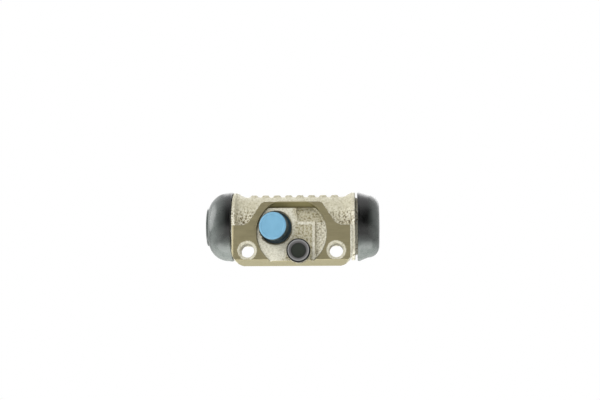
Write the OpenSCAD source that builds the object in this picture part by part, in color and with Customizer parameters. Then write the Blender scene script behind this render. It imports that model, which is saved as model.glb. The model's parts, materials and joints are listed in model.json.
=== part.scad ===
// Double-acting wheel cylinder for a drum brake, in millimetres.
// The origin lies midway between the two bolt holes, on the mounting face.
// The mounting face looks along -Y, the bore lies along X and +Z is up.

/* [Bore and barrel] */
// Diameter of the bore
bore_d = 15.87; // [14.5:0.01:17.5]
// Outer radius of the barrel round the bore
barrel_r = 10.1; // [9.8:0.1:11]
// How far the thick upper side of the barrel is raised
barrel_rise = 5.1; // [4:0.1:6]
// Length of the casting between the seats of the two boots
body_len = 61.8; // [60:0.1:72]
// Height of the bore axis above the bolt holes
bore_height = 14.6; // [14:0.1:16.5]
// Depth of the bore axis behind the mounting face
bore_depth = 19; // [18.5:0.1:21]
// How far the middle of the bore lies to the right of the bolt holes' middle
bore_shift = 0.5; // [0:0.1:1]

/* [Collars and spigots] */
// Radius of the collar at each end of the casting
collar_r = 17.3; // [16.8:0.1:18.5]
// Length of the collar at its full radius
collar_land = 1.8; // [1.2:0.1:3]
// Length over which the collar runs down to the barrel
collar_cove = 2.6; // [1.5:0.1:3.2]
// Length over which the collar fades out along the top of the barrel
collar_fade = 4; // [2:0.1:6]
// Radius of the spigot that carries the boot
spigot_r = 14.4; // [13:0.1:15]
// Length of the spigot
spigot_len = 4.6; // [4:0.1:5.5]
// Width of the groove for the boot's bead
groove_w = 1.6; // [1:0.1:2]
// Depth of the groove for the boot's bead
groove_depth = 0.8; // [0.4:0.1:1.2]
// Lead-in chamfer at the mouths of the bore
bore_chamfer = 1.6; // [0.5:0.1:2.5]

/* [Mounting pad] */
// How far the ends of the pad stand back from the seats of the boots
pad_inset = 1; // [0.6:0.1:2]
// Thickness of the pad at the bolt holes
pad_t = 9; // [8.6:0.1:11]
// Front lower edge of the pad, below the bolt holes
pad_below = 4.7; // [4:0.1:5.5]
// How much lower the drafted underside is at the back of the pad
pad_draft = 2.2; // [0.5:0.1:3]
// Upper edge of the pad's shoulders, above the bolt holes
pad_shoulder = 12.9; // [11:0.1:13.5]
// Chamfer of the pad's upright edges
pad_edge = 1; // [0.4:0.1:1.6]
// Rounding of the pad's lower corners
pad_corner_r = 6.8; // [4:0.1:8]
// Top of the raised middle of the pad, above the bolt holes
hump_top = 24.7; // [23.5:0.1:25.5]
// Width of the raised middle at its top
hump_top_w = 29.5; // [28:0.5:33]
// Width of the raised middle at the shoulders
hump_foot_w = 44.4; // [43:0.2:46]
// Rounding at the top of the raised middle
hump_top_r = 4.2; // [1:0.1:5]
// Rounding at the foot of the raised middle
hump_foot_r = 5; // [2:0.1:6]
// How far the neck behind the pad reaches below the bore axis
neck_drop = 6; // [5:0.1:7]

/* [Bolt holes] */
// Distance between the two bolt holes
bolt_spacing = 44; // [43:0.1:46]
// Diameter of the bolt holes
bolt_hole_d = 6.8; // [6:0.1:7.4]
// Diameter of the countersinks
countersink_d = 9.7; // [8.4:0.1:10.5]
// Angle of the countersinks, in degrees
countersink_angle = 120; // [115:1:130]

/* [Recess] */
// Radius of the round recess in the pad
recess_r = 17.5; // [17:0.1:18]
// Height of the centre of the recess above the bolt holes
recess_height = 8.7; // [8:0.1:9.6]
// Depth of the recess
recess_depth = 2; // [1.2:0.1:2.6]
// Land of the mounting face that is left above the recess
recess_land = 0.5; // [0.3:0.1:1.2]
// How far the sloped ceiling of the recess comes down to its floor
ceiling_drop = 3; // [1:0.1:4]
// Extra depth of the cast pocket in the floor of the recess
pocket_depth = 2.2; // [0.6:0.1:2.6]
// Height of the pocket's lower step above the bolt holes
pocket_step = 14.5; // [12:0.1:16]
// Distance of the pocket's inner side from the middle
pocket_inner = 3; // [2:0.1:4]
// Distance of the pocket's outer channel from the middle
pocket_outer = 11.6; // [10.8:0.1:13]
// Wall between the pocket and the rim of the recess
pocket_wall = 1.2; // [0.6:0.1:2]
// Width of the cast ribs along the pocket
rib_w = 1.2; // [0.8:0.1:1.6]
// Height of the cast ribs above the floor of the recess
rib_h = 0.6; // [0.3:0.1:1]

/* [Inlet] */
// Distance of the inlet to the left of the middle
inlet_left = 8.1; // [7.8:0.1:8.8]
// Height of the inlet above the bolt holes
inlet_height = 11.6; // [11:0.1:12.2]
// Lean of the inlet's axis towards the left end, in degrees
inlet_tilt = 9; // [0:0.5:10]
// Radius of the spot face round the inlet
inlet_seat_r = 8.4; // [8:0.1:8.6]
// Depth of the spot face
inlet_seat_depth = 1.4; // [0.6:0.1:1.8]
// Radius of the inlet's threaded hole
inlet_hole_r = 4.6; // [4:0.1:5]
// Depth of the inlet's threaded hole below the spot face
inlet_hole_depth = 6; // [4.5:0.1:6.4]
// Wall of the boss behind the pad, round the inlet's threaded hole
inlet_boss_wall = 2.2; // [1.6:0.1:2.8]
// Length of that boss behind the mounting face
inlet_boss_len = 13; // [12:0.1:14]
// Radius of the fluid passages
passage_r = 1.25; // [0.8:0.05:1.5]
// Radius of the plug's head
plug_head_r = 6.9; // [6:0.1:7.4]
// How far the plug's head stands out of the recess
plug_head_h = 7.2; // [5:0.1:9]
// Radius of the rim at the foot of the plug's head
plug_rim_r = 7.9; // [7.5:0.1:7.9]

/* [Bleeder] */
// Distance of the bleeder to the right of the middle
bleeder_right = 3.6; // [3:0.1:4]
// How far the bleeder lies below the bolt holes
bleeder_below = 0.8; // [0:0.1:1]
// Radius of the boss at the pad
bleeder_boss_r = 5.8; // [5.2:0.1:6]
// Radius of the boss at its far end
bleeder_boss_end_r = 4.2; // [3.8:0.1:5]
// Length of the boss behind the mounting face
bleeder_boss_len = 18.2; // [17.8:0.1:19]
// Radius of the bleeder's thread
bleeder_r = 3.5; // [3:0.1:4]
// Depth of the bleeder's hole below the floor of the recess
bleeder_hole_depth = 10.5; // [9.5:0.1:11.5]
// Width of the bleeder's hexagon across its flats
bleeder_hex_af = 8; // [7.6:0.1:8.2]
// Radius of the bleeder's rubber cap
cap_r = 5.95; // [5.8:0.05:6.4]
// Height of the rubber cap
cap_h = 8.6; // [7.8:0.1:10]
// Radius of the dish in the cap's end
cap_dish_r = 3.9; // [3:0.1:4.2]
// Depth of the dish in the cap's end
cap_dish_depth = 0.9; // [0.4:0.1:1]

/* [Pistons] */
// Length of each piston with its nose
piston_len = 28.2; // [26:0.1:30]
// Length of the full-width part of each piston
piston_skirt_len = 17; // [15:0.1:18]
// How far the nose of the left piston stands out of the casting's seat
left_nose_reach = 13.2; // [12.5:0.1:14]
// How far the nose of the right piston stands out of the casting's seat
right_nose_reach = 12.1; // [11.6:0.1:13.5]
// Radius of the pistons' noses
nose_r = 6.8; // [6:0.1:7.1]
// Width of the slot for the brake shoe
slot_w = 3.4; // [2.5:0.1:3.9]
// Depth of the slot for the brake shoe
slot_depth = 6; // [4:0.1:8]
// Running clearance between the pistons and the bore, on the radius
running_gap = 0.03; // [0.02:0.01:0.06]

/* [Cups and spring] */
// Length of the cup seals
cup_len = 6; // [5:0.1:6.5]
// Thickness of the back of the cup seals
cup_back = 2.2; // [1.5:0.1:2.6]
// Sheet thickness of the cup expanders
expander_t = 0.7; // [0.5:0.1:0.9]
// Wire diameter of the spring
wire_d = 0.9; // [0.6:0.1:1.1]
// Radius of the spring to the middle of its wire
spring_r = 2.9; // [2.5:0.1:3.1]
// Turns of the spring
spring_turns = 8; // [6:1:10]

/* [Boots] */
// Radius of the boots at their mouths
boot_r = 17.7; // [17.4:0.1:18.5]
// Wall of the boots
boot_wall = 1.8; // [1.2:0.1:2.2]
// Length of the left boot
left_boot_len = 12.6; // [11.5:0.1:13.2]
// How far the lip of the left boot stands out of its rounded end
left_lip_out = 0.5; // [0:0.1:1]
// Gap between the left boot and its seat
left_boot_gap = 0.3; // [0.1:0.1:0.6]
// Radius of the left boot where its end starts to curve
left_shoulder_r = 17.4; // [16.5:0.1:17.4]
// Rounding of the left boot's end
left_boot_round = 10.4; // [6:0.1:10.4]
// Length of the right boot
right_boot_len = 11; // [10.5:0.1:12]
// How far the lip of the right boot stands out of its rounded end
right_lip_out = 0; // [0:0.1:1]
// Gap between the right boot and its seat
right_boot_gap = 1.2; // [0.1:0.1:1.4]
// Radius of the right boot where its end starts to curve
right_shoulder_r = 16; // [15.5:0.1:17.4]
// Rounding of the right boot's end
right_boot_round = 5.8; // [4:0.1:8]
// Clearance of the rubber parts on what they grip
grip_gap = 0.06; // [0.04:0.01:0.1]

/* [Cast marks] */
// Number of plain raised bars along the top of the barrel
mark_count = 8; // [3:1:9]
// Length of one bar
mark_len = 3.3; // [2:0.1:4.4]
// Width of one bar
mark_w = 6; // [3:0.1:8]
// Height of the bars
mark_h = 0.7; // [0.3:0.1:1.2]
// Distance between the first and the last bar
mark_span = 41; // [38:1:42]

/* [Hidden] */
$fn = 64;

// Overlap of cutting tools past the faces that they cut
past = 1;
bore_r = bore_d / 2;
half_len = body_len / 2;
barrel_top_r = barrel_r + barrel_rise;
pad_w = body_len - 2 * pad_inset;
shoulder_edge_r = 0.8;
pad_bottom = -pad_below - pad_draft;
groove_start = (spigot_len - groove_w) / 2;
collar_inner = half_len - collar_land;

// Places along the bore, as distances from its middle, for a nose that stands out by reach
function nose_end(reach) = half_len + reach;
function piston_end(reach) = nose_end(reach) - piston_len;
function expander_seat(reach) = piston_end(reach) - cup_back;
function spring_seat(reach) = expander_seat(reach) - expander_t;

piston_r = bore_r - running_gap;
plug_stem_r = inlet_hole_r - grip_gap;
bleeder_hole_r = bleeder_r + running_gap;
bleeder_tip_r = bleeder_r / 2;
bleeder_tip_len = bleeder_r - bleeder_tip_r;

// Heights on the bleeder's axis, outwards from the floor of the recess
hex_start = 0.4;
hex_h = 3.4;
nipple_r = 3;
nipple_end = 7;
barb = 0.7;
barb_len = 2;
drill_r = 0.9;

// Shading of the parts
casting_colour = [0.80, 0.78, 0.68];
rubber_colour = [0.15, 0.17, 0.16];
plug_colour = [0.50, 0.72, 0.86];
steel_colour = [0.66, 0.66, 0.63];

function unit(v) = v / norm(v);

// The same angle between -180 and 180 degrees
function wrap(a) = a - 360 * floor(a / 360 + 0.5);

// Points of an arc of radius r that rounds the corner b between the points a and c
function corner_arc(a, b, c, r, steps = 8) =
    let (
        to_a = unit(a - b),
        to_c = unit(c - b),
        half = acos(to_a * to_c) / 2,
        centre = b + unit(to_a + to_c) * r / sin(half),
        first = b + to_a * r / tan(half) - centre,
        last = b + to_c * r / tan(half) - centre,
        from = atan2(first.y, first.x),
        turn = wrap(atan2(last.y, last.x) - from)
    )
    [for (i = [0:steps]) centre + r * [cos(from + turn * i / steps), sin(from + turn * i / steps)]];

// Outline through corners given as [x, y, radius]
function rounded(corners) =
    let (n = len(corners), at = [for (c = corners) [c.x, c.y]])
    [for (i = [0:n - 1]) each corner_arc(at[(i + n - 1) % n], at[i], at[(i + 1) % n], corners[i].z)];

// Moves what is modelled along +Z to the bore's axis, pointing to +X
module on_bore() translate([bore_shift, bore_depth, bore_height]) rotate([0, 90, 0]) children();

// Mirrors what is modelled at the right end of the bore to its left end
module left_end() translate([2 * bore_shift, 0, 0]) mirror([1, 0, 0]) children();

// Moves what is modelled along +Z to an axis that leaves the mounting face
module out_of_face(x, y, z, lean = 0)
    translate([x, y, z]) rotate([0, 0, -lean]) rotate([90, 0, 0]) children();

module on_inlet() out_of_face(-inlet_left, recess_depth, inlet_height, inlet_tilt) children();

module on_bleeder() out_of_face(bleeder_right, recess_depth, -bleeder_below) children();

// Extrudes an outline drawn in X and Z from the mounting face to the given depth
module behind_face(depth) translate([0, depth, 0]) rotate([90, 0, 0]) linear_extrude(depth) children();

module both_ends() {
    children();
    left_end() children();
}

module barrel() {
    for (rise = [0, barrel_rise])
        translate([0, 0, rise]) on_bore() cylinder(r = barrel_r, h = body_len, center = true);
    translate([bore_shift - half_len, bore_depth - barrel_r, bore_height])
        cube([body_len, 2 * barrel_r, barrel_rise]);
}

// Collar, spigot and boot groove at the right end, with a fairing on the top of the barrel
module collar() {
    drop = collar_r - barrel_r;
    fairing = collar_r - barrel_top_r;
    cove = [
        for (a = [90:-15:0])
        [collar_r - drop * sin(a), collar_inner - collar_cove * (1 - cos(a))]
    ];
    groove = [
        [spigot_r, half_len + groove_start],
        [spigot_r - groove_depth, half_len + groove_start],
        [spigot_r - groove_depth, half_len + groove_start + groove_w],
        [spigot_r, half_len + groove_start + groove_w]
    ];
    on_bore() rotate_extrude() polygon(concat(
        [[0, collar_inner - collar_cove]], cove, [[collar_r, half_len], [spigot_r, half_len]], groove,
        [[spigot_r, half_len + spigot_len], [0, half_len + spigot_len]]
    ));
    translate([0, 0, barrel_rise]) on_bore() translate([0, 0, collar_inner - collar_fade])
        cylinder(r1 = barrel_r, r2 = barrel_r + fairing, h = collar_fade);
}

module pad_outline() polygon(rounded([
    [-pad_w / 2, pad_bottom, pad_corner_r], [pad_w / 2, pad_bottom, pad_corner_r],
    [pad_w / 2, pad_shoulder, shoulder_edge_r], [hump_foot_w / 2, pad_shoulder, hump_foot_r],
    [hump_top_w / 2, hump_top, hump_top_r], [-hump_top_w / 2, hump_top, hump_top_r],
    [-hump_foot_w / 2, pad_shoulder, hump_foot_r], [-pad_w / 2, pad_shoulder, shoulder_edge_r]
]));

// Pad with its drafted underside, and the raised middle that runs back into the barrel
module mounting_pad() {
    difference() {
        behind_face(pad_t) pad_outline();
        translate([-pad_w, 0, 0]) rotate([90, 0, 90]) linear_extrude(2 * pad_w)
            polygon([[-past, pad_bottom - past], [pad_t, pad_bottom - past], [pad_t, pad_bottom],
                [0, -pad_below], [-past, -pad_below]]);
        for (side = [-1, 1]) translate([side * pad_w / 2, 0, 0]) rotate([0, 0, 45])
            cube([pad_edge * sqrt(2), pad_edge * sqrt(2), 4 * pad_shoulder], center = true);
    }
    behind_face(bore_depth) intersection() {
        pad_outline();
        translate([-pad_w / 2, pad_shoulder]) square([pad_w, hump_top - pad_shoulder]);
    }
    translate([bore_shift - collar_inner, pad_t - past, bore_height - neck_drop])
        cube([2 * collar_inner, bore_depth - pad_t + past, neck_drop]);
}

// Tapered boss of the bleeder and the web that carries it on the barrel
module bleeder_boss() {
    reach = bleeder_boss_len - recess_depth;
    web_h = bore_height - neck_drop + bleeder_below + past;
    on_bleeder() translate([0, 0, -reach]) cylinder(r1 = bleeder_boss_end_r, r2 = bleeder_boss_r, h = reach);
    translate([bleeder_right, 0, -bleeder_below]) linear_extrude(web_h) polygon([
        [-bleeder_boss_r, recess_depth], [bleeder_boss_r, recess_depth],
        [bleeder_boss_end_r, bleeder_boss_len], [-bleeder_boss_end_r, bleeder_boss_len]
    ]);
}

// Round boss that closes the inlet's hole behind the pad
module inlet_boss() {
    reach = inlet_boss_len - recess_depth - inlet_seat_depth;
    on_inlet() translate([0, 0, -inlet_seat_depth - reach])
        cylinder(r = inlet_hole_r + inlet_boss_wall, h = reach);
}

module cast_marks() {
    middle = bore_height + barrel_top_r + (mark_h - past) / 2;
    for (i = [0:mark_count - 1])
        translate([bore_shift + mark_span * (i / (mark_count - 1) - 0.5), bore_depth, middle])
            cube([mark_len, mark_w, mark_h + past], center = true);
}

module bore() {
    on_bore() cylinder(r = bore_r, h = body_len + 2 * spigot_len + 2 * past, center = true);
    both_ends() on_bore() translate([0, 0, half_len + spigot_len - bore_chamfer])
        cylinder(r1 = bore_r, r2 = bore_r + bore_chamfer + past, h = bore_chamfer + past);
}

module bolt_holes() {
    flare = tan(countersink_angle / 2);
    sink = (countersink_d - bolt_hole_d) / 2 / flare;
    for (side = [-1, 1]) translate([side * bolt_spacing / 2, -past, 0]) rotate([-90, 0, 0]) {
        cylinder(d = bolt_hole_d, h = pad_t + 2 * past);
        cylinder(d1 = countersink_d + 2 * past * flare, d2 = bolt_hole_d, h = sink + past);
    }
}

// Round recess with a sloped ceiling, and the cast pocket round the upper right of its floor
module recess() {
    ceiling_front = hump_top - recess_land;
    ceiling_back = ceiling_front - ceiling_drop;
    low = recess_height - recess_r - past;
    slope = ceiling_drop / recess_depth;
    intersection() {
        translate([0, recess_depth, recess_height]) rotate([90, 0, 0])
            cylinder(r = recess_r, h = recess_depth + past);
        translate([-recess_r, 0, 0]) rotate([90, 0, 90]) linear_extrude(2 * recess_r)
            polygon([[-past, low], [recess_depth, low], [recess_depth, ceiling_back],
                [-past, ceiling_front + slope * past]]);
    }
    behind_face(recess_depth + pocket_depth) intersection() {
        translate([0, recess_height]) circle(r = recess_r - pocket_wall);
        polygon([[pocket_inner, pocket_step], [pocket_outer, pocket_step], [pocket_outer, pad_bottom],
            [recess_r, pad_bottom], [recess_r, ceiling_back],
            [pocket_inner - recess_depth / 2, ceiling_back]]);
    }
}

// Two ribs along the lower and the inner edge of the pocket
module recess_ribs() {
    root = recess_depth + pocket_depth / 2;
    translate([0, root, 0]) rotate([90, 0, 0]) linear_extrude(root - recess_depth + rib_h) polygon([
        [pocket_inner, pocket_step], [pocket_outer, pocket_step], [pocket_outer, -pad_below],
        [pocket_outer - rib_w, -pad_below], [pocket_outer - rib_w, pocket_step - rib_w],
        [pocket_inner, pocket_step - rib_w]
    ]);
}

// Spot face, threaded hole and passage of the inlet, down to the bore
module inlet_port() {
    on_inlet() {
        translate([0, 0, -inlet_seat_depth]) cylinder(r = inlet_seat_r, h = inlet_seat_depth + past);
        translate([0, 0, -inlet_seat_depth - inlet_hole_depth])
            cylinder(r = inlet_hole_r, h = inlet_hole_depth + past);
        translate([0, 0, -bore_depth + recess_depth]) cylinder(r = passage_r, h = bore_depth - recess_depth);
    }
}

// Hole of the bleeder with its conical seat, and the slanted passage up to the bore
module bleeder_port() {
    seat_y = recess_depth + bleeder_hole_depth + bleeder_tip_len;
    rise = bore_height - bore_r / 2 + bleeder_below;
    run = bore_depth - seat_y;
    on_bleeder() {
        translate([0, 0, -bleeder_hole_depth]) cylinder(r = bleeder_hole_r, h = bleeder_hole_depth + past);
        translate([0, 0, -bleeder_hole_depth - bleeder_tip_len])
            cylinder(r1 = bleeder_tip_r, r2 = bleeder_hole_r, h = bleeder_tip_len);
    }
    translate([bleeder_right, seat_y, -bleeder_below]) rotate([-atan2(run, rise), 0, 0])
        cylinder(r = passage_r, h = norm([run, rise]));
}

module cylinder_body() color(casting_colour) difference() {
    union() {
        difference() {
            union() {
                barrel();
                both_ends() collar();
                mounting_pad();
                inlet_boss();
                bleeder_boss();
                cast_marks();
            }
            recess();
        }
        recess_ribs();
    }
    bore();
    bolt_holes();
    inlet_port();
    bleeder_port();
}

// Right-hand piston: skirt in the bore, stepped nose with a slot for the brake shoe
module piston(reach) color(steel_colour) difference() {
    edge = 0.5;
    tail = piston_end(reach);
    step = tail + piston_skirt_len;
    tip = nose_end(reach);
    on_bore() rotate_extrude() polygon([
        [0, tail], [piston_r - edge, tail], [piston_r, tail + edge],
        [piston_r, step - edge], [piston_r - edge, step], [nose_r, step],
        [nose_r, tip - edge], [nose_r - edge, tip], [0, tip]
    ]);
    translate([bore_shift + tip - slot_depth, bore_depth - slot_w / 2, bore_height - piston_r])
        cube([slot_depth + past, slot_w, 2 * piston_r]);
}

// Rubber cup whose lips face the middle of the bore
module cup_seal(reach) color(rubber_colour) {
    lip_t = 1.2;
    back = piston_end(reach);
    floor = expander_seat(reach);
    lip = back - cup_len;
    on_bore() rotate_extrude() polygon([
        [0, floor], [piston_r - 2 * lip_t, floor], [piston_r - lip_t, lip],
        [piston_r, lip], [piston_r, back], [0, back]
    ]);
}

// Pressed sheet cup between the spring and the cup seal
module cup_expander(reach) color(steel_colour) {
    seat_r = spring_r + wire_d + expander_t;
    flare = 1.2;
    back = expander_seat(reach);
    floor = spring_seat(reach);
    lip = back - cup_len + cup_back + expander_t;
    on_bore() rotate_extrude() polygon([
        [0, floor], [seat_r - expander_t, floor], [seat_r + flare - expander_t, lip],
        [seat_r + flare, lip], [seat_r, back], [0, back]
    ]);
}

// Helical wire swept with rings that stand across it
module piston_spring() color(steel_colour) {
    sides = 8;
    rings = 16 * spring_turns;
    inset = wire_d / 2 + 0.05;
    left = inset - spring_seat(left_nose_reach);
    right = spring_seat(right_nose_reach) - inset;
    points = [
        for (i = [0:rings]) let (a = 360 * spring_turns * i / rings, x = left + (right - left) * i / rings)
        for (j = [0:sides - 1]) let (b = 360 * j / sides, r = spring_r + wire_d / 2 * cos(b))
        [r * cos(a), r * sin(a), x + wire_d / 2 * sin(b)]
    ];
    walls = [
        for (i = [0:rings - 1]) for (j = [0:sides - 1]) let (k = (j + 1) % sides)
        [i * sides + j, i * sides + k, (i + 1) * sides + k, (i + 1) * sides + j]
    ];
    ends = [[for (j = [sides - 1:-1:0]) j], [for (j = [0:sides - 1]) rings * sides + j]];
    on_bore() polyhedron(points, concat(walls, ends));
}

// Dome of a boot: a quarter round that ends at the given place along the bore
function dome(shoulder_r, round_r, end) =
    [for (a = [0:10:90]) [shoulder_r - round_r * (1 - cos(a)), end - round_r * (1 - sin(a))]];

module boot_outline(mouth_r, mouth, shoulder_r, round_r, end)
    polygon(concat([[0, mouth], [mouth_r, mouth]], dome(shoulder_r, round_r, end), [[0, end]]));

// Dust boot of the right end, with a bead in the spigot's groove and a lip on the piston's nose
module boot(gap, length, lip_out, shoulder_r, round_r) color(rubber_colour) {
    mouth = half_len + gap;
    end = mouth + length;
    grip_r = spigot_r + grip_gap;
    lip_r = nose_r + grip_gap;
    lip_len = 2 * boot_wall;
    lip_rim = 1.5 * boot_wall;
    cover = half_len + spigot_len + boot_wall / 4;
    bead_w = groove_w - 2 * grip_gap;
    on_bore() rotate_extrude() {
        difference() {
            boot_outline(boot_r, mouth, shoulder_r, round_r, end);
            intersection() {
                boot_outline(boot_r - boot_wall, mouth, shoulder_r - boot_wall, round_r - boot_wall,
                    end - boot_wall);
                translate([0, cover]) square([boot_r, length]);
            }
            translate([0, mouth - past]) square([grip_r, cover - mouth + past]);
            translate([0, cover - past]) square([lip_r, length + past]);
        }
        translate([lip_r, end - lip_len]) square([boot_wall, lip_len - boot_wall / 2]);
        translate([lip_r, end - boot_wall]) square([lip_rim, boot_wall + lip_out]);
        translate([grip_r - groove_depth, half_len + groove_start + grip_gap])
            square([groove_depth + grip_gap, bead_w]);
    }
}

// Hollow bleeder with a conical tip, a hexagon and a nipple
module bleeder_screw() color(steel_colour) {
    neck_r = nipple_r - barb;
    hex_r = bleeder_hex_af / 2 / cos(30);
    tip = -bleeder_hole_depth - bleeder_tip_len + 2 * running_gap;
    on_bleeder() difference() {
        union() {
            rotate_extrude() polygon([
                [0, tip], [bleeder_tip_r, tip], [bleeder_r, tip + bleeder_tip_len],
                [bleeder_r, hex_start], [neck_r, hex_start],
                [neck_r, nipple_end - barb_len], [nipple_r, nipple_end - barb_len + barb / 2],
                [neck_r, nipple_end], [0, nipple_end]
            ]);
            translate([0, 0, hex_start]) cylinder(r = hex_r, h = hex_h, $fn = 6);
        }
        translate([0, 0, -bleeder_hole_depth + 3 * drill_r])
            cylinder(r = drill_r, h = bleeder_hole_depth + nipple_end);
        translate([0, 0, -bleeder_hole_depth + 4 * drill_r]) rotate([0, 90, 0])
            cylinder(r = drill_r, h = 4 * bleeder_r, center = true);
    }
}

// Rubber cap with a round rim and a dished end
module bleeder_cap() color(rubber_colour) {
    rim_r = min(1, cap_r - cap_dish_r - cap_dish_depth);
    skirt_r = bleeder_hex_af / 2 / cos(30) + grip_gap;
    skirt_end = hex_start + hex_h + grip_gap;
    grip_r = nipple_r + grip_gap;
    rim = [for (a = [0:15:90]) [cap_r - rim_r * (1 - cos(a)), hex_start + cap_h - rim_r * (1 - sin(a))]];
    on_bleeder() rotate_extrude() polygon(concat(
        [[skirt_r, hex_start], [cap_r, hex_start]], rim,
        [[cap_dish_r + cap_dish_depth, hex_start + cap_h], [cap_dish_r, hex_start + cap_h - cap_dish_depth],
        [0, hex_start + cap_h - cap_dish_depth], [0, nipple_end + grip_gap], [grip_r, nipple_end + grip_gap],
        [grip_r, skirt_end], [skirt_r, skirt_end]]
    ));
}

// Push-in plug: stem in the inlet, rim on the spot face and a plain round head
module inlet_plug() color(plug_colour) {
    rim_h = 1.1;
    edge = 0.8;
    stem_end = -inlet_seat_depth - inlet_hole_depth / 2;
    on_inlet() rotate_extrude() polygon([
        [0, stem_end], [plug_stem_r - edge, stem_end],
        [plug_stem_r, stem_end + edge], [plug_stem_r, -inlet_seat_depth],
        [plug_rim_r, -inlet_seat_depth], [plug_rim_r, rim_h - inlet_seat_depth],
        [plug_head_r, rim_h - inlet_seat_depth], [plug_head_r, plug_head_h - edge],
        [plug_head_r - edge, plug_head_h], [0, plug_head_h]
    ]);
}

cylinder_body();
left_end() piston(left_nose_reach);  // left_piston
piston(right_nose_reach);  // right_piston
left_end() cup_seal(left_nose_reach);  // left_cup_seal
cup_seal(right_nose_reach);  // right_cup_seal
left_end() cup_expander(left_nose_reach);  // left_cup_expander
cup_expander(right_nose_reach);  // right_cup_expander
piston_spring();
left_end() boot(left_boot_gap, left_boot_len, left_lip_out, left_shoulder_r, left_boot_round);  // left_boot
boot(right_boot_gap, right_boot_len, right_lip_out, right_shoulder_r, right_boot_round);  // right_boot
bleeder_screw();
bleeder_cap();
inlet_plug();
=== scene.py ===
"""Looks of a drum-brake wheel cylinder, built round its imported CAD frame. Lengths are in metres."""

import json
import math

import bmesh
import bpy
import numpy as np
from mathutils import Matrix, Vector, noise
from mathutils.bvhtree import BVHTree

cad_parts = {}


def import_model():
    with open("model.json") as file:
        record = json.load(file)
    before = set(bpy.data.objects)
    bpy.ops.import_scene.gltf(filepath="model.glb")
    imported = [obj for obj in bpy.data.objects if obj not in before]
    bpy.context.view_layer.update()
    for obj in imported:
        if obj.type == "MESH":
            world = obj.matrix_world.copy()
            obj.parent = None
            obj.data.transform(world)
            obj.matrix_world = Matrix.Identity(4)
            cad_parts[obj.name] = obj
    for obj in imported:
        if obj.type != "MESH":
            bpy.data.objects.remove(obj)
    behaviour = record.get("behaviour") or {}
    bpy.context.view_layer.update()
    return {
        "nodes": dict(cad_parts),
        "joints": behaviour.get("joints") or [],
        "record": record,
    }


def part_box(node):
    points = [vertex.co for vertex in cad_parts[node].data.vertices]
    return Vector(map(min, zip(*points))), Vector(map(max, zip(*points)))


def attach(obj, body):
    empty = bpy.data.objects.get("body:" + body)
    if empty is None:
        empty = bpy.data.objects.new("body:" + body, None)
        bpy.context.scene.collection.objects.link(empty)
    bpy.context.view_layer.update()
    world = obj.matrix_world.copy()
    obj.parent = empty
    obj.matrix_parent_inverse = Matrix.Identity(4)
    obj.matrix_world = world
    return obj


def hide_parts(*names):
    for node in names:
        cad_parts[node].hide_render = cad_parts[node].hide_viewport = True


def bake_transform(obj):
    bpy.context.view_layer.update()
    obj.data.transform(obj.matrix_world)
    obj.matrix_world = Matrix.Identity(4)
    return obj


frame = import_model()
nodes = frame["nodes"]
MM = 0.001

# Places taken from the frame
piston_low, piston_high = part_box("right_piston")
BORE_Y = (piston_low.y + piston_high.y) / 2
BORE_Z = (piston_low.z + piston_high.z) / 2
BORE_R = (piston_high.z - piston_low.z) / 2
BOLT_X = frame["record"]["mounts"][0]["dims"]["spacing_x_mm"] * MM / 2
BLEEDER = Vector(next(j for j in frame["joints"] if j["name"] == "bleeder_turn")["pos_m"])

# Sizes that the frame doesn't state, as in the CAD source
PAD_T = 9 * MM
PAD_BELOW = 4.7 * MM
RECESS_R = 17.5 * MM
RECESS_Z = 8.7 * MM
RECESS_DEPTH = 2 * MM
CEILING_Z = 20.5 * MM
PAD_SHOULDER = 12.9 * MM
POCKET_OUTER = 11.6 * MM
POCKET_STEP = 14.5 * MM
SINK_R = 4.85 * MM
BORE_X = 0.5 * MM
SEAT = 30.9 * MM
INLET = Vector((-8.1, 2.0, 11.6)) * MM
INLET_TILT = math.radians(9)
INLET_SEAT_R = 8.4 * MM
PLUG_TOP = 7.2 * MM


# Meshes

def link(name, data):
    """Object in the scene with the given mesh, light or camera."""
    obj = bpy.data.objects.new(name, data)
    bpy.context.scene.collection.objects.link(obj)
    return obj


def shade(mesh, angle=40):
    """Smooth shading that keeps edges sharper than the angle."""
    mesh.shade_smooth()
    mesh.set_sharp_from_angle(angle=math.radians(angle))


def closed_surface(name, verts, faces):
    """Object of a closed surface, with its faces turned outwards."""
    mesh = bpy.data.meshes.new(name)
    mesh.from_pydata(verts, [], faces)
    turned = bmesh.new()
    turned.from_mesh(mesh)
    bmesh.ops.recalc_face_normals(turned, faces=turned.faces)
    turned.to_mesh(mesh)
    turned.free()
    shade(mesh)
    return link(name, mesh)


def fillet(corners, steps=6):
    """Points of a closed outline with each corner (x, y, radius) rounded by an arc."""
    points = []
    count = len(corners)
    for i, (x, y, r) in enumerate(corners):
        here = np.array((x, y), float)
        before = np.array(corners[i - 1][:2], float) - here
        after = np.array(corners[(i + 1) % count][:2], float) - here
        if r == 0:
            points.append(here)
            continue
        before /= np.linalg.norm(before)
        after /= np.linalg.norm(after)
        half = math.acos(np.clip(before @ after, -1, 1)) / 2
        middle = (before + after) / np.linalg.norm(before + after)
        centre = here + middle * r / math.sin(half)
        first = here + before * r / math.tan(half) - centre
        last = here + after * r / math.tan(half) - centre
        start = math.atan2(first[1], first[0])
        turn = (math.atan2(last[1], last[0]) - start + math.pi) % math.tau - math.pi
        for k in range(steps + 1):
            a = start + turn * k / steps
            points.append(centre + r * np.array((math.cos(a), math.sin(a))))
    return points


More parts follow.
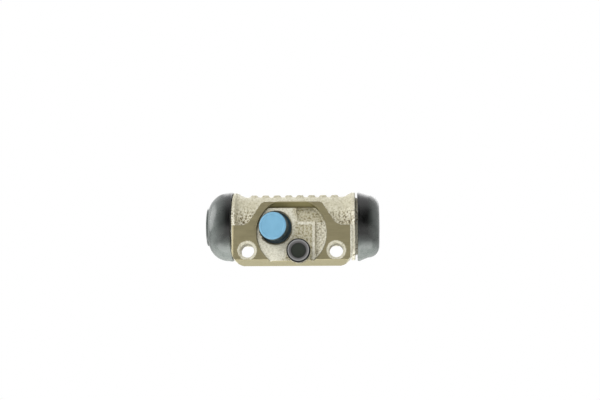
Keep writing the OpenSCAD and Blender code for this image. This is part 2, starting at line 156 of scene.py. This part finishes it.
def lathe(name, outline, place, segments=128):
    """Turns a closed outline of (radius, height) in millimetres round the local Z axis of place."""
    rows = []
    verts = []
    for r, h in outline:
        rows.append(len(verts))
        turns = 1 if r < 1e-6 else segments
        for k in range(turns):
            a = math.tau * k / segments
            verts.append(place @ (Vector((r * math.cos(a), r * math.sin(a), h)) * MM))
    rows.append(len(verts))
    faces = []
    count = len(outline)
    for i in range(count):
        j = (i + 1) % count
        near = rows[i + 1] - rows[i]
        far = rows[j + 1] - rows[j]
        if near == 1 and far == 1:
            continue
        for k in range(segments):
            quad = [rows[i] + k % near, rows[i] + (k + 1) % near, rows[j] + (k + 1) % far, rows[j] + k % far]
            faces.append(list(dict.fromkeys(quad)))
    return closed_surface(name, verts, faces)


def helix(name, end, turns, radius, wire_r, sides=10, rings_per_turn=24):
    """Round wire wound round the bore's axis from the middle to end, with flat ends."""
    rings = round(abs(turns) * rings_per_turn)
    verts = []
    for i in range(rings + 1):
        a = math.tau * turns * i / rings
        x = end * i / rings
        for j in range(sides):
            b = math.tau * j / sides
            r = radius + wire_r * math.cos(b)
            verts.append((x + wire_r * math.sin(b), BORE_Y + r * math.cos(a), BORE_Z + r * math.sin(a)))
    faces = []
    for i in range(rings):
        for j in range(sides):
            k = (j + 1) % sides
            faces.append((i * sides + j, i * sides + k, (i + 1) * sides + k, (i + 1) * sides + j))
    faces.append(tuple(range(sides)))
    faces.append(tuple(rings * sides + j for j in range(sides)))
    return closed_surface(name, verts, faces)


def on_bore(side):
    """Place whose Z axis runs along the bore, to the right for side 1 and to the left for side -1."""
    return Matrix.Translation((BORE_X, BORE_Y, BORE_Z)) @ Matrix.Rotation(side * math.pi / 2, 4, "Y")


def on_face(point, lean=0.0):
    """Place whose Z axis leaves the mounting face."""
    return Matrix.Translation(point) @ Matrix.Rotation(-lean, 4, "Z") @ Matrix.Rotation(math.pi / 2, 4, "X")


# Shader nodes

def fill(made, values):
    """Sets a node's inputs: the output of another node is linked, and anything else is a plain value."""
    for key, value in values.items():
        if isinstance(value, bpy.types.NodeSocket):
            made.id_data.links.new(value, made.inputs[key])
        else:
            made.inputs[key].default_value = value


def node(tree, kind, values=None, **settings):
    made = tree.nodes.new(kind)
    for key, value in settings.items():
        setattr(made, key, value)
    fill(made, values or {})
    return made


def material(name):
    made = bpy.data.materials.new(name)
    made.use_nodes = True
    return made, made.node_tree, made.node_tree.nodes["Principled BSDF"]


def srgb(r, g, b):
    """Linear colour of 8-bit screen values."""
    def linear(v):
        v /= 255
        return v / 12.92 if v <= 0.04045 else ((v + 0.055) / 1.055) ** 2.4
    return (linear(r), linear(g), linear(b), 1.0)


def place_of(tree):
    """Where the shaded spot is, in the piece's own coordinates."""
    return node(tree, "ShaderNodeTexCoord").outputs["Object"]


def attribute(tree, name):
    """Number stored at each point of the mesh."""
    return node(tree, "ShaderNodeAttribute", attribute_name=name).outputs["Fac"]


def grain(tree, size, detail=4.0, rough=0.6, stretch=(1, 1, 1)):
    """Noise in the piece's own coordinates with features of about the given size."""
    where = node(tree, "ShaderNodeMapping", {"Vector": place_of(tree), "Scale": stretch}).outputs["Vector"]
    settings = {"Vector": where, "Scale": 1 / size, "Detail": detail, "Roughness": rough}
    return node(tree, "ShaderNodeTexNoise", settings).outputs["Fac"]


def ramp(tree, source, stops):
    """Colour ramp with stops of (position, colour)."""
    made = node(tree, "ShaderNodeValToRGB", {"Fac": source})
    while len(made.color_ramp.elements) < len(stops):
        made.color_ramp.elements.new(0.5)
    for element, (position, colour) in zip(made.color_ramp.elements, stops):
        element.position = position
        element.color = colour
    return made.outputs["Color"]


def spread(tree, source, low, high, to_low=0.0, to_high=1.0):
    """Source stretched from low and high to other limits, and kept between them."""
    limits = {"Value": source, "From Min": low, "From Max": high, "To Min": to_low, "To Max": to_high}
    return node(tree, "ShaderNodeMapRange", limits).outputs["Result"]


def mix(tree, factor, a, b, how="MIX"):
    """Colour a with b laid over it."""
    return node(tree, "ShaderNodeMix", {0: factor, 6: a, 7: b}, data_type="RGBA", blend_type=how).outputs[2]


def blend_values(tree, factor, a, b):
    return node(tree, "ShaderNodeMix", {0: factor, 2: a, 3: b}, data_type="FLOAT").outputs[0]


def calc(tree, operation, *terms):
    return node(tree, "ShaderNodeMath", dict(enumerate(terms)), operation=operation).outputs[0]


def vector_calc(tree, operation, *terms):
    """Vector math node, whose result is its Vector or its Value."""
    return node(tree, "ShaderNodeVectorMath", dict(enumerate(terms)), operation=operation).outputs


def bump(tree, height, strength, distance, below=None):
    """Normal of a bumpy skin, on top of the bumps below."""
    values = {"Height": height, "Strength": strength, "Distance": distance}
    if below is not None:
        values["Normal"] = below
    return node(tree, "ShaderNodeBump", values).outputs["Normal"]


def height_on(tree, point, axis):
    """Height of the shaded spot above a point, along an axis."""
    away = vector_calc(tree, "SUBTRACT", place_of(tree), point)["Vector"]
    return vector_calc(tree, "DOT_PRODUCT", away, axis)["Value"]


def distance_from(tree, point, across):
    """Distance of the shaded spot from an axis; across is 0 along that axis and 1 elsewhere."""
    away = vector_calc(tree, "SUBTRACT", place_of(tree), point)["Vector"]
    flat = vector_calc(tree, "MULTIPLY", away, across)["Vector"]
    return vector_calc(tree, "LENGTH", flat)["Value"]


# Materials

def cast_metal():
    """Zinc-plated casting: pale and pitted where it was cast, smooth and olive where it was machined, the
    olive partly painted reflection of a dark surround on top of the real reflection.
    """
    made, tree, shader = material("zinc_casting")
    machined = attribute(tree, "machined")
    rough = attribute(tree, "rough")
    olive_and_shade = attribute(tree, "olive_and_shade")
    pits = grain(tree, 1.0 * MM, detail=6, rough=0.62)
    fine = grain(tree, 0.3 * MM, detail=3)
    cloud = grain(tree, 9 * MM, detail=3, rough=0.5)
    lines = grain(tree, 0.6 * MM, detail=2, rough=0.5, stretch=(0.08, 1, 1))

    calm = ramp(tree, pits, [
        (0.30, srgb(190, 185, 166)), (0.50, srgb(226, 224, 210)), (0.70, srgb(242, 240, 231))
    ])
    # Harsh skin: dark in its pits, and its palest grains are partly painted glints.
    harsh = ramp(tree, pits, [
        (0.37, srgb(80, 68, 44)), (0.44, srgb(168, 158, 128)), (0.49, srgb(224, 219, 199)),
        (0.57, srgb(250, 248, 238))
    ])
    worn = ramp(tree, cloud, [(0.35, srgb(206, 201, 182)), (0.65, srgb(240, 238, 226))])
    as_cast = mix(tree, 0.4, mix(tree, rough, calm, harsh), worn, "MULTIPLY")
    # face: the machined olive, partly painted reflection of a dark surround, since face and cast skin share
    # one plating.
    face = ramp(tree, lines, [(0.3, srgb(146, 138, 106)), (0.7, srgb(156, 147, 115))])
    # Olive ramp: olive below the pad, in the pocket and on the barrel; from 0.9 up it is painted shade on the
    # recess's ceiling, darkest towards the recess floor.
    olive = ramp(tree, olive_and_shade, [
        (0.6, srgb(158, 150, 115)), (0.9, srgb(124, 117, 74)), (1.0, srgb(72, 64, 32))
    ])
    skin = mix(tree, machined, as_cast, face)

    cast_gloss = spread(tree, pits, 0.3, 0.7, 0.62, 0.4)
    face_gloss = spread(tree, lines, 0.3, 0.7, 0.36, 0.48)
    smooth = spread(tree, machined, 0, 1, 1, 0.05)
    coarse = calc(tree, "MULTIPLY", pits, spread(tree, rough, 0, 1, 0.35, 1))
    dents = bump(tree, calc(tree, "MULTIPLY", coarse, smooth), 1.0, 0.8 * MM)
    fill(shader, {
        "Base Color": mix(tree, olive_and_shade, skin, olive),
        "Roughness": blend_values(tree, machined, cast_gloss, face_gloss),
        "Normal": bump(tree, calc(tree, "MULTIPLY", fine, smooth), 0.5, 0.12 * MM, dents),
        "Metallic": spread(tree, machined, 0, 1, 0.1, 0.5),
    })
    return made


def rubber(name, roughness):
    """Moulded rubber without its colour, and the noise that clouds it."""
    made, tree, shader = material(name)
    cloud = grain(tree, 6 * MM)
    fine = grain(tree, 0.5 * MM, detail=3)
    fill(shader, {
        "Roughness": spread(tree, cloud, 0.3, 0.7, roughness - 0.06, roughness + 0.08),
        "Normal": bump(tree, fine, 0.25, 0.06 * MM),
    })
    return made, tree, shader, cloud


def plain_rubber(name, dark, pale, roughness):
    made, tree, shader, cloud = rubber(name, roughness)
    fill(shader, {"Base Color": ramp(tree, cloud, [(0.35, dark), (0.7, pale)])})
    return made


def boot_rubber():
    """Black at the casting, with painted reflection that turns it greyer towards the ends, more on the left,
    and painted light from below that makes it palest underneath.
    """
    made, tree, shader, cloud = rubber("boot_rubber", 0.27)
    painted_light_middle = BORE_X + 2 * MM
    split = node(tree, "ShaderNodeSeparateXYZ", {0: place_of(tree)})
    reach = calc(tree, "ABSOLUTE", calc(tree, "SUBTRACT", split.outputs["X"], painted_light_middle))
    # ends and low mask painted reflection and painted light: greyer towards the ends, more on the left since
    # the middle sits right of the bore's, and under the bore.
    ends = spread(tree, reach, SEAT + 4 * MM, SEAT + 11.5 * MM)
    low = spread(tree, split.outputs["Z"], BORE_Z - 6 * MM, BORE_Z - 13 * MM)
    painted_underlight = spread(tree, split.outputs["Z"], BORE_Z - 9 * MM, BORE_Z - 15 * MM)
    black = ramp(tree, cloud, [(0.35, srgb(6, 7, 6)), (0.7, srgb(10, 11, 10))])
    painted_reflection_grey = ramp(tree, grain(tree, 4 * MM), [(0.35, srgb(78, 84, 81)), (0.7, srgb(96, 102, 99))])
    # pale is painted light from below on the boots' undersides.
    pale = ramp(tree, grain(tree, 3 * MM), [(0.35, srgb(112, 119, 115)), (0.7, srgb(128, 135, 131))])
    painted_light_blend = mix(tree, calc(tree, "MAXIMUM", ends, low), black, painted_reflection_grey)
    fill(shader, {"Base Color": mix(tree, painted_underlight, painted_light_blend, pale), "Specular IOR Level": 0.65})
    return made


def cap_rubber():
    """Black sides, a dark grey dish, and a rim painted greyer as painted light, palest towards its lip."""
    made, tree, shader, _ = rubber("cap_rubber", 0.32)
    away = distance_from(tree, BLEEDER, (1, 0, 1))
    # The rim's grey, palest towards its lip, is painted light on black rubber.
    rings = ramp(tree, spread(tree, away, 2.4 * MM, 6.4 * MM), [
        (0.0, srgb(46, 50, 44)), (0.30, srgb(38, 41, 37)), (0.37, srgb(92, 90, 91)),
        (0.52, srgb(112, 110, 111)), (0.66, srgb(138, 138, 138)), (0.69, srgb(138, 138, 138)),
        (0.715, srgb(6, 6, 6))
    ])
    fill(shader, {"Base Color": rings})
    return made


def plug_plastic():
    """Moulded light-blue plug, with painted shade: dark down its side, light on its end."""
    made, tree, shader = material("plug_plastic")
    cloud = grain(tree, 5 * MM, detail=3, rough=0.5)
    fine = grain(tree, 0.4 * MM, detail=2, rough=0.5)
    axis = on_face(INLET, INLET_TILT).to_3x3() @ Vector((0, 0, 1))
    # The dark side is painted shade; only the end keeps the light blue.
    unshaded_end = spread(tree, height_on(tree, INLET, axis), PLUG_TOP - 0.6 * MM, PLUG_TOP - 0.3 * MM)
    end = ramp(tree, cloud, [(0.3, srgb(106, 156, 184)), (0.7, srgb(114, 164, 192))])
    fill(shader, {
        "Base Color": mix(tree, unshaded_end, srgb(24, 44, 52), end),
        "Roughness": spread(tree, fine, 0.3, 0.7, 0.4, 0.53),
        "Normal": bump(tree, fine, 0.15, 0.04 * MM),
    })
    return made


def turned_metal(name, dark, pale, roughness, stretch):
    """Bare metal with fine tool marks, drawn out where stretch is small."""
    made, tree, shader = material(name)
    lines = grain(tree, 0.5 * MM, detail=2, rough=0.5, stretch=stretch)
    fill(shader, {
        "Base Color": ramp(tree, lines, [(0.3, dark), (0.7, pale)]),
        "Roughness": spread(tree, lines, 0.3, 0.7, roughness - 0.08, roughness + 0.08),
        "Normal": bump(tree, lines, 0.2, 0.03 * MM),
        "Metallic": 1.0,
    })
    return made


def dress(obj, made):
    obj.data.materials.clear()
    obj.data.materials.append(made)


# Casting: its grid, its waves, and how smooth, olive or coarse its skin is, and where shade is painted on it

VOXEL = 0.45 * MM
SNAP = 0.15 * VOXEL
WAVE_HEIGHT = 0.16 * MM
WAVE_SIZE = 1.4 * MM
TOUCH = 0.05 * MM
NEAR = 0.1 * MM
BORE_EDGE = 0.5 * MM
CHAMFER_DEPTH = 1.1 * MM
RECESS_EDGE = 1 * MM
POCKET_FLOOR = RECESS_DEPTH + 3 * MM

BAND_SMOOTH = 0.7
RECESS_EDGE_SMOOTH = 0.9
SINK_SMOOTH = 0.25
INLET_SMOOTH = 0.8

BAND_OLIVE = 0.75
# Share of painted shade on the recess's ceiling.
CEILING_PAINTED_SHADE = 0.9
POCKET_OLIVE = 0.6
BARREL_OLIVE = 0.2
BARREL_TOP_OLIVE = 0.25
BARREL_TOP_Z = 16 * MM
BARREL_TOP_FADE = 8 * MM

POCKET_ROUGH = 0.9
CHANNEL_ROUGH = 0.45
POCKET_BORDER = 3.2 * MM
BORDER_SLANT = 0.35
BORDER_SHIFT = 2.4 * MM
BORDER_WAVER = 1.2 * MM
BORDER_WAVER_SIZE = 2.5 * MM
BORDER_FADE = 2.4 * MM
PAD_ROUGH = 0.1
LEAST_ROUGH = 0.12
ROUGH_BELOW_Z = 24.5 * MM
ROUGH_FADE = 7 * MM
BACK_ROUGH = 0.4
FRONT_FADE = 8 * MM
PATCH_SIZE = 6 * MM


def clamp(value, least=0.0):
    return min(1.0, max(least, value))


def from_bolt(x, z):
    return math.hypot(abs(x) - BOLT_X, z)


def from_recess(x, z):
    return math.hypot(x, z - RECESS_Z)


def under_pad(y, z, normal):
    return y < PAD_T and z < -PAD_BELOW + NEAR and normal.z < -0.8


def in_channel(x, z):
    """In the pocket's outer channel, which runs down to the pad's lower edge."""
    return x > POCKET_OUTER and z < POCKET_STEP


def machined_share(point, normal):
    """1 where the casting was machined or drawn smooth, 0 where it was left as cast."""
    x, y, z = point
    if y < TOUCH and normal.y < -0.9:
        return 1.0
    if math.hypot(y - BORE_Y, z - BORE_Z) < BORE_R + BORE_EDGE:
        return 1.0
    if abs(x - BORE_X) > SEAT - TOUCH:
        return 0.0
    if x < 0 and y < CHAMFER_DEPTH and normal.y < -0.5 and abs(x) > BOLT_X + SINK_R + 2 * NEAR:
        return 1.0
    if under_pad(y, z, normal):
        return BAND_SMOOTH
    reach = from_recess(x, z)
    edge = reach > RECESS_R - RECESS_EDGE or z > CEILING_Z
    if y < RECESS_DEPTH - NEAR and reach < RECESS_R + TOUCH and edge and normal.y > -0.95:
        return RECESS_EDGE_SMOOTH
    if from_bolt(x, z) < SINK_R + NEAR and y < PAD_T + MM and normal.y > -0.9:
        return SINK_SMOOTH
    if (Vector(point) - INLET).length < INLET_SEAT_R + 4 * NEAR and y > RECESS_DEPTH + NEAR:
        return INLET_SMOOTH
    return 0.0


def rough_share(point):
    """1 where the cast skin is coarse and dark in its pits, 0 where it is pale and even."""
    x, y, z = point
    if from_bolt(x, z) < SINK_R + 2 * NEAR and y < PAD_T:
        return 0.0
    if y < POCKET_FLOOR and from_recess(x, z) < RECESS_R:
        if y < RECESS_DEPTH - 2 * NEAR:
            return 0.0
        above = z > POCKET_STEP
        border = POCKET_BORDER - BORDER_SLANT * (z - POCKET_STEP if above else BORDER_SHIFT + POCKET_STEP - z)
        border += BORDER_WAVER * noise.noise(Vector(point) / BORDER_WAVER_SIZE)
        share = CHANNEL_ROUGH if in_channel(x, z) else POCKET_ROUGH
        return clamp((x - border) / BORDER_FADE + 0.5) * share
    if z < PAD_SHOULDER and y < PAD_T:
        return PAD_ROUGH
    low = clamp((ROUGH_BELOW_Z - z) / ROUGH_FADE)
    front = clamp((BORE_Y - y) / FRONT_FADE, BACK_ROUGH)
    patch = 0.5 + noise.noise(Vector(point) / PATCH_SIZE)
    return clamp(low * front * (0.7 + 0.5 * patch), LEAST_ROUGH)


def olive_and_shade_share(point, normal):
    """Share of olive and painted shade: the recess's ceiling is painted shade, darkest at its inner edge;
    less olive below the pad, in the pocket and on the barrel.
    """
    x, y, z = point
    if under_pad(y, z, normal):
        return BAND_OLIVE
    if y > POCKET_FLOOR or from_recess(x, z) > RECESS_R:
        high = clamp((z - BARREL_TOP_Z) / BARREL_TOP_FADE)
        return (BARREL_OLIVE + BARREL_TOP_OLIVE * high) * (1 - rough_share(point)) if y > MM else 0.0
    # The recess's ceiling is painted shade, darkest where it meets the recess floor.
    if z > CEILING_Z - 3 * NEAR and y < RECESS_DEPTH - NEAR and normal.z < -0.2:
        return CEILING_PAINTED_SHADE + (1 - CEILING_PAINTED_SHADE) * clamp((y / RECESS_DEPTH - 0.5) / 0.4)
    return 0.0 if in_channel(x, z) else POCKET_OLIVE * rough_share(point)


def casting():
    """Casting with a rough skin: an even remesh of the CAD body, uneven only where it was left as cast."""
    obj = link("casting", nodes["cylinder_body"].data.copy())
    weld = bmesh.new()
    weld.from_mesh(obj.data)
    bmesh.ops.remove_doubles(weld, verts=weld.verts, dist=1e-6)
    weld.to_mesh(obj.data)
    exact = BVHTree.FromBMesh(weld)
    weld.free()
    even = obj.modifiers.new("even", "REMESH")
    even.mode = "VOXEL"
    even.voxel_size = VOXEL
    shaped = bpy.data.meshes.new_from_object(obj.evaluated_get(bpy.context.evaluated_depsgraph_get()))
    obj.modifiers.clear()
    obj.data = shaped
    shaped.name = "casting"
    skin = {name: np.zeros(len(shaped.vertices), np.float32) for name in ("machined", "rough", "olive_and_shade")}
    for i, vert in enumerate(shaped.vertices):
        spot, normal, _, away = exact.find_nearest(vert.co)
        share = machined_share(spot, normal)
        skin["machined"][i] = share
        skin["rough"][i] = rough_share(spot)
        skin["olive_and_shade"][i] = olive_and_shade_share(spot, normal)
        if away < SNAP:
            vert.co = spot
        wave = noise.noise(vert.co / WAVE_SIZE) + 0.5 * noise.noise(vert.co / (WAVE_SIZE / 2))
        height = WAVE_HEIGHT * max(0.0, 1 - 2 * share) * (0.4 + 0.6 * skin["rough"][i])
        vert.co = vert.co + normal * wave * height
    for name, values in skin.items():
        shaped.attributes.new(name, "FLOAT", "POINT").data.foreach_set("value", values)
    shade(shaped, 50)
    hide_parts("cylinder_body")
    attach(obj, "cylinder")
    return obj


# Rubber boots, with sizes in millimetres

BOOT_WALL = 1.8
BOOT_LIP = 3.6
BOOT_RIM = 2.7
BOOT_WAVE = 0.12
BOOT_WAVE_SIZE = 7
DOME_STEPS = 24
MOUTH_DRAFT = 0.05
MOUTH_W = 1
NOSE_GRIP = 6.86
COLLAR_ROOM = 0.6
SPIGOT_GRIP = 14.46
SPIGOT_END = 35.95
SPIGOT_ROOM = 0.4
LEFT_BOOT = {"shoulder": 17.4, "round": 10.4, "lip": 0.5}
RIGHT_BOOT = {"shoulder": 16.0, "round": 5.8, "lip": 0.0}


def boot(name, side, shape):
    """Dust boot turned from a soft outline, from its seat on the casting to its lip on the piston."""
    low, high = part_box(name)
    reach = sorted((abs(low.x - BORE_X) / MM, abs(high.x - BORE_X) / MM))
    mouth = reach[0]
    tip = reach[1]
    end = tip - shape["lip"]
    mouth_r = (high.z - low.z) / 2 / MM
    shoulder = shape["shoulder"]
    rounding = shape["round"]
    rim = NOSE_GRIP + BOOT_RIM
    last = math.acos(max(0.0, (rim - shoulder + rounding) / rounding))
    turns = [last * k / DOME_STEPS for k in range(DOME_STEPS + 1)]
    dome = [(shoulder - rounding * (1 - math.cos(a)), end - rounding * (1 - math.sin(a)), 0) for a in turns]
    lip = [(rim, tip, 0.25)] if shape["lip"] else []
    collar = NOSE_GRIP + BOOT_WALL
    inner = shoulder - BOOT_WALL
    inside = end - BOOT_WALL
    inner_round = min(rounding - BOOT_WALL, inner - collar - COLLAR_ROOM, inside - SPIGOT_END - SPIGOT_ROOM)
    seat = [
        (SPIGOT_GRIP, mouth, 0.2), (mouth_r, mouth, 0.5), (mouth_r - MOUTH_DRAFT, mouth + MOUTH_W, 0.4)
    ]
    hollow = [
        (NOSE_GRIP, tip, 0.3), (NOSE_GRIP, end - BOOT_LIP, 0.3), (collar, end - BOOT_LIP, 0.3),
        (collar, inside, 0.3), (inner, inside, inner_round), (inner, SPIGOT_END, 0.2),
        (SPIGOT_GRIP, SPIGOT_END, 0.2)
    ]
    outline = fillet(seat + dome + lip + hollow)
    obj = lathe(name + "_rubber", outline, on_bore(side))
    for vert in obj.data.vertices:
        out = Vector((0, vert.co.y - BORE_Y, vert.co.z - BORE_Z))
        if out.length > (SPIGOT_GRIP + BOOT_WALL / 2) * MM:
            vert.co += out.normalized() * noise.noise(vert.co / (BOOT_WAVE_SIZE * MM)) * BOOT_WAVE * MM
    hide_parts(name)
    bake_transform(obj)
    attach(obj, "cylinder")
    return obj


# Bleeder cap and inlet plug, with sizes in millimetres

def bleeder_cap():
    """Cap that widens from its foot to a stepped lip round a conical dish, hollow to fit the bleeder."""
    low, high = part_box("bleeder_cap")
    radius = (high.x - low.x) / 2 / MM
    foot = (BLEEDER.y - high.y) / MM
    top = (BLEEDER.y - low.y) / MM
    foot_r = 5.15
    step = top - 1.2
    lip_r = 5.22
    lip_w = 0.25
    dish_r = 3.75
    dish = top - 1.5
    skirt_r = 4.68
    skirt_top = 3.86
    grip_r = 3.06
    grip_top = 7.06
    outline = fillet([
        (skirt_r, foot, 0.2), (foot_r, foot, 0.15), (radius, step, 0.25), (lip_r, step, 0.15),
        (lip_r, top, 0.15), (lip_r - lip_w, top, 0.1), (dish_r, dish, 0.3), (0, dish, 0),
        (0, grip_top, 0), (grip_r, grip_top, 0.1), (grip_r, skirt_top, 0.1), (skirt_r, skirt_top, 0.1)
    ])
    obj = lathe("bleeder_cap_rubber", outline, on_face(BLEEDER), 96)
    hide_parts("bleeder_cap")
    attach(obj, "bleeder")
    return obj


def inlet_plug():
    """Plain push-in plug with a rounded head on a thin rim."""
    stem_end = -4.4
    stem_r = 4.54
    seat = -1.4
    rim_r = 7.9
    rim_top = seat + 1.1
    head_r = 6.9
    head_top = PLUG_TOP / MM
    head_ring = head_r - 1.1
    dish_r = head_r - 1.4
    dish = head_top - 0.2
    outline = fillet([
        (0, stem_end, 0), (stem_r, stem_end, 0.8), (stem_r, seat, 0.05), (rim_r, seat, 0.2),
        (rim_r, rim_top, 0.35), (head_r, rim_top, 0.3), (head_r, head_top, 0.7),
        (head_ring, head_top, 0.4), (dish_r, dish, 0.4), (0, dish, 0)
    ])
    obj = lathe("inlet_plug_moulding", outline, on_face(INLET, INLET_TILT), 96)
    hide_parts("inlet_plug")
    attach(obj, "cylinder")
    return obj


# Piston spring, as two halves, one on each side of the middle

SPRING_TURNS = 8
SPRING_WIRE_R = 0.45 * MM


def spring_half(name, side):
    low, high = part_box("piston_spring")
    end = high.x - SPRING_WIRE_R if side > 0 else low.x + SPRING_WIRE_R
    radius = (high.z - low.z) / 2 - SPRING_WIRE_R
    turns = SPRING_TURNS * end / (high.x - low.x - 2 * SPRING_WIRE_R)
    obj = helix(name, end, turns, radius, SPRING_WIRE_R)
    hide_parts("piston_spring")
    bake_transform(obj)
    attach(obj, "cylinder")
    return obj


# Pieces and what they are made of

dress(casting(), cast_metal())

# Boot rubber with painted reflection and painted light from below.
painted_light_rubber = boot_rubber()
for made in (boot("left_boot", -1, LEFT_BOOT),
             boot("right_boot", 1, RIGHT_BOOT)):
    dress(made, painted_light_rubber)

dress(bleeder_cap(), cap_rubber())
dress(inlet_plug(), plug_plastic())

spring_steel = turned_metal("spring_steel", srgb(120, 118, 112), srgb(170, 168, 162), 0.35, (1, 1, 1))
for made in (spring_half("spring_left", -1),
             spring_half("spring_right", 1)):
    dress(made, spring_steel)

piston_metal = turned_metal("piston_metal", srgb(150, 152, 150), srgb(190, 192, 190), 0.38, (1, 0.1, 0.1))
seal_rubber = plain_rubber("seal_rubber", srgb(18, 18, 18), srgb(28, 28, 28), 0.45)
sheet_steel = turned_metal("sheet_steel", srgb(140, 138, 130), srgb(180, 178, 170), 0.35, (1, 0.2, 0.2))
for side in ("left", "right"):
    dress(nodes[side + "_piston"], piston_metal)
    dress(nodes[side + "_cup_seal"], seal_rubber)
    dress(nodes[side + "_cup_expander"], sheet_steel)

bleeder_steel = turned_metal("bleeder_steel", srgb(150, 138, 92), srgb(196, 184, 138), 0.36, (0.1, 1, 0.1))
dress(nodes["bleeder_screw"], bleeder_steel)


# Stage, light and camera

VIEW_RIGHT = math.radians(2.5)
VIEW_BELOW = math.radians(10)
DISTANCE = 0.60
FRAME_W = 0.3077
AIM = Vector((3.3, 19.0, 28.45)) * MM
SENSOR_MM = 36
FLOOR_Z = -0.115
FLOOR_HALF = 6.0
EVEN_LIGHT = 0.45
DIM_ROOM = 0.03
DIM_TOWARDS = Vector((0, -0.98, 0.2))


def floor():
    corners = [(x * FLOOR_HALF, y * FLOOR_HALF, FLOOR_Z) for x, y in ((-1, -1), (1, -1), (1, 1), (-1, 1))]
    mesh = bpy.data.meshes.new("floor")
    mesh.from_pydata(corners, [], [(0, 1, 2, 3)])
    obj = link("floor", mesh)
    made, _, shader = material("pale_floor")
    fill(shader, {"Base Color": srgb(236, 236, 234), "Roughness": 0.9})
    dress(obj, made)


def world():
    """Soft light on a white ground, with a dim room in front of the part for reflections."""
    made = bpy.data.worlds.new("studio")
    made.use_nodes = True
    tree = made.node_tree
    tree.nodes.clear()
    path = node(tree, "ShaderNodeLightPath").outputs
    ray = node(tree, "ShaderNodeTexCoord").outputs["Generated"]
    facing = vector_calc(tree, "DOT_PRODUCT", ray, DIM_TOWARDS)["Value"]
    room = spread(tree, facing, 0.4, 0.8, 1.0, DIM_ROOM)
    lit = blend_values(tree, path["Is Glossy Ray"], EVEN_LIGHT, room)
    clear = calc(tree, "MAXIMUM", path["Is Camera Ray"], path["Is Transmission Ray"])
    strength = blend_values(tree, clear, lit, 1.0)
    ground = node(tree, "ShaderNodeBackground", {"Color": (1, 1, 1, 1), "Strength": strength})
    node(tree, "ShaderNodeOutputWorld", {"Surface": ground.outputs[0]})
    bpy.context.scene.world = made


def lamp(name, place, size, watts, mirrored=True, depth=None, aim=AIM):
    """Soft lamp; one that isn't mirrored leaves no highlight."""
    data = bpy.data.lights.new(name, "AREA")
    data.size = size
    if depth:
        data.shape = "RECTANGLE"
        data.size_y = depth
    data.energy = watts
    obj = link(name, data)
    obj.location = place
    obj.rotation_euler = (Vector(aim) - Vector(place)).to_track_quat("-Z", "Y").to_euler()
    obj.visible_camera = False
    obj.visible_glossy = mirrored


def camera():
    """Camera at the photograph's angle, a little to the right of the part and below it."""
    data = bpy.data.cameras.new("camera")
    data.sensor_width = SENSOR_MM
    data.lens = SENSOR_MM * DISTANCE / FRAME_W
    data.clip_start = 0.01
    data.clip_end = 50
    obj = link("camera", data)
    back = Vector((math.sin(VIEW_RIGHT) * math.cos(VIEW_BELOW), -math.cos(VIEW_RIGHT) * math.cos(VIEW_BELOW),
                   -math.sin(VIEW_BELOW)))
    obj.location = AIM + back * DISTANCE
    obj.rotation_euler = (-back).to_track_quat("-Z", "Y").to_euler()
    bpy.context.scene.camera = obj


floor()
world()
lamp("key", (-0.32, -0.56, 0.42), size=0.5, watts=3.8, mirrored=False)
lamp("fill", (0.5, -0.52, 0.22), size=0.5, watts=1.3, mirrored=False)
lamp("back", (0.1, 0.6, 0.5), size=0.6, watts=2)
lamp("under", (-0.02, 0.005, -0.108), size=0.26, watts=0.13, depth=0.07, aim=(-0.02, 0.005, 1))
lamp("side", (-0.55, 0.08, 0.2), size=0.42, watts=1.5)
camera()
bpy.context.scene.view_settings.view_transform = "Standard"
